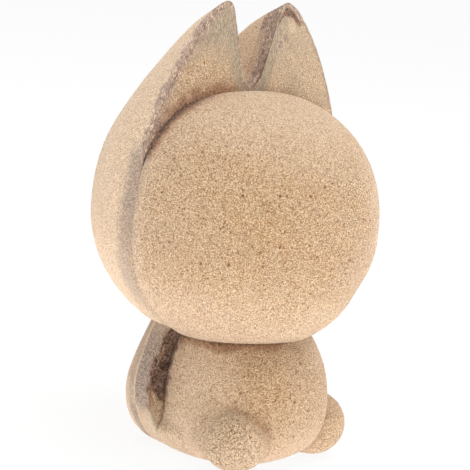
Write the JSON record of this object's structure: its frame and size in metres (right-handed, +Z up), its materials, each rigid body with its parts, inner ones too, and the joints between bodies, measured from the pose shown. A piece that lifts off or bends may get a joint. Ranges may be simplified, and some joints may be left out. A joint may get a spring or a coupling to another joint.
{
  "type": "cat figurine",
  "caption": "Unpainted wood-fibre cat figurine with a large blank ball head, pointed ears, round belly and feet, standing on a flat base as a desk or shelf ornament.",
  "frame": {"origin": "on the floor, at the middle of the figurine's width and depth", "axes": "+Z up towards the ear tips, the cat faces -Y, +X is the cat's left side"},
  "size_m": [0.0744, 0.0856, 0.1224],
  "materials": {
    "face_fibre": "sanded medium-density fibreboard, unsealed and matt",
    "back_fibre": "finely sanded medium-density fibreboard, unsealed and matt",
    "board_fibre": "sawn edge of dense grey-brown fibreboard, scorched in places",
    "foot_fibre": "coarse open fibreboard core, unsealed and matt",
    "dowel_wood": "plain hardwood dowel"
  },
  "bodies": {
    "root": {"centre_board": "board_fibre", "face_dome": "face_fibre", "head_back": "back_fibre", "belly": "face_fibre", "body_back": "back_fibre", "left_foot": "foot_fibre", "right_foot": "foot_fibre", "left_head_dowel": "dowel_wood", "right_head_dowel": "dowel_wood", "left_body_dowel": "dowel_wood", "right_body_dowel": "dowel_wood", "left_foot_peg": "dowel_wood", "right_foot_peg": "dowel_wood"}
  },
  "joints": []
}
